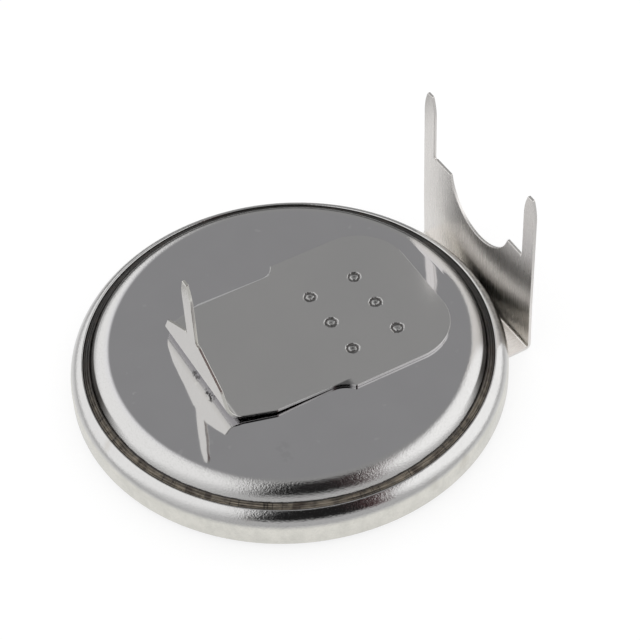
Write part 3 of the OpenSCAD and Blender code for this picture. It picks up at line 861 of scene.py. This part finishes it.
def painted_light_marks(g, base, point):
    """What only the cap's tab has besides welds, all painted light: a creamier upright as painted sheen,
    near-black spots on its bend as the painted shade of small nicks, and along its narrow sides a painted
    highlight on the burred far edge and a painted dark line of shade on the near edge."""
    x, y, z = g.split(point)
    # Painted sheen: the upright is painted a lighter cream than the flat part of the same sheet.
    base = g.mix(g.steps(z, CAP_FACE_Z + 0.3, CAP_FACE_Z + 0.7), base, UPRIGHT_SHEEN_CREAM)
    # Painted shade: near-black spots where small nicks on the bend are.
    nick_shade = spots_near(g, point, BEND_NICK_SHADE, 0.42, 6.0)
    base = g.mix(g.times(nick_shade, 0.95), base, grey(0.03, 0.05))
    # Painted highlight: a near-white line along the burred far edge of the narrow part.
    burr_highlight = g.times(g.steps(y, *FAR_EDGE_HIGHLIGHT_Y), g.steps(x, *FAR_HIGHLIGHT_END_X))
    base = g.mix(burr_highlight, base, grey(0.98))
    # Painted shade: a dark grey line along the near edge of the narrow part.
    cut = g.times(g.steps(y, *NEAR_EDGE_SHADE_Y), g.times(g.steps(x, *NEAR_SHADE_END_X), g.steps(x, *NEAR_SHADE_START_X)))
    return g.mix(cut, base, grey(0.23))


def weld_distance(g, point):
    """How far a point is from the nearest weld spot's middle."""
    x, y, _ = g.split(point)
    across = g.minus(g.math("ABSOLUTE", g.minus(x, WELD_X)), WELD_PITCH[0] / 2)
    off = g.math("ABSOLUTE", g.minus(y, WELD_SHIFT))
    off = g.math("MINIMUM", off, g.math("ABSOLUTE", g.minus(off, WELD_PITCH[1])))
    return g.length(across, off)


def weld_marks(g, base, normal, point, level):
    """The weld spots: on a greyer disc, a pressed and burnt ring with a wavy outline round a burnt point."""
    wavy = g.times(g.minus(g.noise(point, 4.5, 2.0), 0.5), 0.2)
    distance = g.plus(weld_distance(g, point), wavy)
    ring = g.times(g.steps(distance, *WELD_RING_IN), g.steps(distance, *WELD_RING_OUT))
    uneven = g.steps(g.noise(point, 8.0, 1.0), 0.3, 0.6, 0.7, 1.0)
    burnt = g.math("MAXIMUM", g.times(ring, uneven), g.times(g.steps(distance, *WELD_POINT), 0.8))
    base = g.mix(g.times(g.steps(distance, *WELD_DISC), 0.4), base, grey(level - 0.3))
    return g.mix(burnt, base, grey(0.16, 0.03)), g.bump(ring, -0.02, normal)


def tab_material(name, level, warmth, smooth, on_cap=False):
    """Satin rolled sheet: fine lines along the strip and a soft change of tone. The tab on the cap also has
    painted light on its upright, bend and edges, and the marks of its welds."""
    made, g = new_material(name)
    point = g.millimetres()
    x, y, z = g.split(point)
    lines = g.noise(g.xyz(g.times(g.plus(x, z), 0.4), g.times(y, 16.0), 0.0), 1.0, 3.0, 0.6)
    tone = g.noise(point, 0.22, 1.0)
    base = g.mix(tone, grey(level - 0.02, warmth), grey(level + 0.02, warmth + 0.008))
    if on_cap:
        base = painted_light_marks(g, base, point)
    base = g.mix(g.steps(lines, 0.45, 0.75, 0.0, 0.12), base, grey(level - 0.2, 0.02))
    rough = g.steps(lines, 0.3, 0.7, smooth, smooth + 0.04)
    normal = g.bump(lines, 0.0015)
    if on_cap:
        base, normal = weld_marks(g, base, normal, point, level)
    shaded(g, base, rough, normal)
    return made


def plain_material(name, low, high, scale, rough, metallic=0.0, depth=0.01):
    """An inner piece's finish: two tones in a fine grain."""
    made, g = new_material(name)
    grain = g.noise(g.millimetres(), scale, 4.0, 0.6)
    shaded(g, g.mix(grain, low, high), rough, g.bump(grain, depth), metallic)
    return made


def dress(piece, made, *nodes, slot=None):
    """Gives a piece its material. A piece of the scene is also put on the cell's body, and the nodes it
    stands for are hidden; the slot argument is not used."""
    piece.data.materials.clear()
    piece.data.materials.append(made)
    if nodes:
        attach(piece, "root")
        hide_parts(*nodes)


dress(can, can_material(), "positive_can", slot="can_steel")
dress(cap, cap_material(), "negative_cap", slot="cap_steel")
dress(gasket, gasket_material(), "gasket", slot="gasket_plastic")
dress(neg_tab, tab_material("negative_tab_nickel", 0.64, 0.004, 0.15, on_cap=True), "negative_tab",
      slot="tab_steel")
dress(pos_tab, tab_material("positive_tab_nickel", 0.82, 0.025, 0.26), "positive_tab", slot="tab_steel")

inner = frame["nodes"]
dress(inner["lithium_anode"], plain_material("soft_lithium", grey(0.5), grey(0.62), 2.0, 0.45, 1.0))
dress(inner["separator"], plain_material("separator_felt", grey(0.7, 0.02), grey(0.85, 0.02), 9.0, 0.9))
dress(inner["cathode_pellet"], plain_material("pressed_cathode", grey(0.012), grey(0.03), 7.0, 0.8))
dress(inner["cathode_ring"], plain_material("ring_steel", grey(0.5), grey(0.6), 3.0, 0.3, 1.0, 0.004))

# Floor, light and camera

FLOOR_HALF = 1500.0

# The tent's dark field: how far aside its middle lies, its half width at the turn of FIELD_TOP degrees, and
# what each further degree adds to that.
FIELD_ASIDE = 0.125
FIELD_HALF = 0.275
FIELD_TOP = 98.0
FIELD_GROWTH = 0.004
GLOW_RED = (1.0, 0.5, 0.52, 1.0)

# The photograph's view: the camera's height over the floor's plane as an angle, its distance from the cell's
# foot, the point it looks at, its roll and its lens. Its azimuth is given above.
VIEW_ELEVATION = math.radians(47.99)
VIEW_DISTANCE = 130.0
VIEW_TARGET = Vector((2.178, 0.168, CAP_FACE_Z))
VIEW_ROLL = math.radians(-3.21)
LENS = 129.8
SENSOR_W = 36.0


def floor():
    """A plain pale floor under the cell. It looks white to the camera and keeps its shadow. To glossy rays it
    glows as painted light: brighter near the cell, greyer further out, and dark behind it as painted shade."""
    made = new_object("pale_floor", FLOOR_HALF * np.array([[-1, -1, 0], [1, -1, 0], [1, 1, 0], [-1, 1, 0]]),
                      [[0, 1, 2, 3]])
    paint, g = new_material("pale_floor")
    ray = g.node("ShaderNodeLightPath").outputs
    x, y, _, far = polar(g, g.millimetres())
    # Painted light: to glossy rays the floor glows brighter near the cell and greyer further out, and a dark
    # patch behind the cell is painted shade.
    behind = g.times(g.steps(frontness(g, x, y, far), -0.6, -0.85), g.steps(far, 16.2, 17.5))
    level = g.times(g.steps(behind, 0.0, 1.0, 1.0, 0.04), g.steps(far, 13.5, 24.0, 0.62, 0.3))
    seen = g.math("MAXIMUM", g.times(ray["Is Camera Ray"], 0.74), g.times(ray["Is Glossy Ray"], level))
    matt = g.node("ShaderNodeBsdfDiffuse", {"Color": grey(0.3)}).outputs[0]
    glow = g.node("ShaderNodeEmission", {"Color": grey(1.0), "Strength": seen}).outputs[0]
    both = g.node("ShaderNodeAddShader", {0: matt, 1: glow}).outputs[0]
    g.node("ShaderNodeOutputMaterial", {"Surface": both})
    made.data.materials.append(paint)


def studio():
    """Plain soft light from all sides. Metal mirrors a white tent with three fields in the middle: grey at
    the back and overhead, a dark one over the camera that widens downwards and has a faint red glow inside
    one edge, and light grey below it. A direction is told by how far aside it points, from -1 to 1, and by
    its turn in degrees, from 0 at the back over 90 overhead to 180 at the front."""
    world = bpy.data.worlds.new("studio")
    scene.world = world
    world.use_nodes = True
    world.cycles.sampling_method = "NONE"
    g = Graph(world.node_tree)
    x, y, z = g.split(g.node("ShaderNodeTexCoord").outputs["Generated"])
    aside = g.plus(g.times(x, -FRONT[1]), g.times(y, FRONT[0]))
    turn = g.math("DEGREES", g.math("ARCTAN2", z, g.times(ahead(g, x, y), -1.0)))
    tent = g.times(g.steps(aside, -0.2, 0.4, 1.12, 1.25), g.steps(turn, 118, 152, 1.0, 0.72))
    off = g.minus(aside, FIELD_ASIDE)
    away = g.math("ABSOLUTE", off)
    half = g.plus(FIELD_HALF, g.times(g.minus(turn, FIELD_TOP), FIELD_GROWTH))
    past_edge = g.minus(off, half)
    glow = g.times(g.steps(past_edge, -0.17, -0.11), g.steps(past_edge, 0.01, -0.04))
    upper = g.between(g.steps(away, 0.26, 0.44), 0.36, tent)
    middle = g.between(g.steps(g.minus(away, half), -0.05, 0.09), g.plus(0.018, g.times(glow, 0.07)), tent)
    lower = g.between(g.steps(away, 0.5, 1.0, 0.0, 0.7), 0.57, tent)
    over, under = g.steps(turn, 90, 97), g.steps(turn, 151, 160)
    level = g.between(under, g.between(over, upper, middle), lower)
    level = g.times(level, g.steps(z, 0.0, 0.04, 0.6, 1.0))
    red = g.times(glow, g.times(over, g.minus(1.0, under)))
    ray = g.node("ShaderNodeLightPath").outputs
    mirrored = ray["Is Glossy Ray"]
    plain = g.plus(0.95, g.times(ray["Is Camera Ray"], 0.05))
    tint = g.mix(g.times(mirrored, red), grey(1.0), GLOW_RED)
    strength = g.between(mirrored, plain, level)
    background = g.node("ShaderNodeBackground", {"Color": tint, "Strength": strength}).outputs[0]
    g.node("ShaderNodeOutputWorld", {"Surface": background})


def camera():
    """A long lens that looks down on the cell, as the photograph does."""
    back = Vector((FRONT[0] * math.cos(VIEW_ELEVATION), FRONT[1] * math.cos(VIEW_ELEVATION),
                   math.sin(VIEW_ELEVATION)))
    place = back * VIEW_DISTANCE + Vector((0, 0, CAN_BASE_Z))
    data = bpy.data.cameras.new("camera")
    data.lens = LENS
    data.sensor_width = SENSOR_W
    data.clip_start = 0.001
    data.clip_end = 10.0
    made = bpy.data.objects.new("camera", data)
    turn = (VIEW_TARGET - place).to_track_quat("-Z", "Y").to_matrix() @ Matrix.Rotation(VIEW_ROLL, 3, "Z")
    made.matrix_world = Matrix.Translation(place * MM) @ turn.to_4x4()
    scene.collection.objects.link(made)
    scene.camera = made


floor()
studio()
camera()
scene.view_settings.view_transform = "Standard"

bpy.context.view_layer.update()
